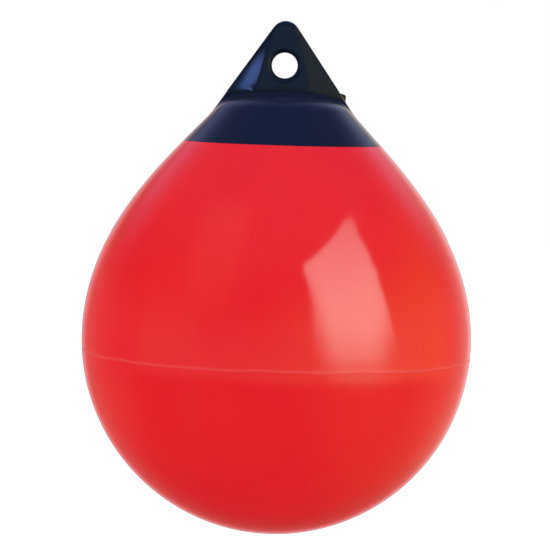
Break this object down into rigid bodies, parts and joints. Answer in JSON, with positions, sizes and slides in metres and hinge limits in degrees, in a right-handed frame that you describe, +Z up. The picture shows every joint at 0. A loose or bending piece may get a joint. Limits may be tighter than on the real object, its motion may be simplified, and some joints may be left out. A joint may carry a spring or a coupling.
{
  "type": "ball fender",
  "caption": "Inflatable teardrop ball fender: soft vinyl ball, dark moulded neck cap with a triangular rope lug and round eye, and a screw-down air valve on the shoulder.",
  "frame": {"origin": "centre of the rope eye, in the middle of the lug's thickness", "axes": "+Z up along the fender's axis, from the ball to the lug; +Y along the rope eye, away from the front; +X to the right across the lug's face, on the side of the valve"},
  "size_m": [0.5212, 0.5212, 0.685],
  "materials": {
    "red_vinyl": "smooth soft vinyl with a high gloss",
    "navy_vinyl": "smooth thick vinyl with a soft gloss",
    "black_nylon": "moulded, fine grain",
    "black_rubber": "matt",
    "plug_nylon": "turned and slotted, satin"
  },
  "bodies": {
    "root": {"ball_shell": "red_vinyl", "rope_cap": "navy_vinyl", "valve_bush": "black_nylon"},
    "seal": {"plug_seal": "black_rubber"},
    "plug": {"valve_plug": "plug_nylon"}
  },
  "joints": [
    {"name": "plug_lift", "type": "slide", "parent": "root", "child": "seal", "axis": [0.1763, 0.1102, 0.9781], "range_m": [0, 0.008]},
    {"name": "plug_turn", "type": "hinge", "parent": "seal", "child": "plug", "pos_m": [0.07039, 0.04398, -0.05254], "axis": [0.1763, 0.1102, 0.9781], "range_deg": [0, 1440]}
  ],
  "couplings": [
    {"joint": "plug_turn", "follows": "plug_lift", "rad_per_m": 3141.6}
  ]
}
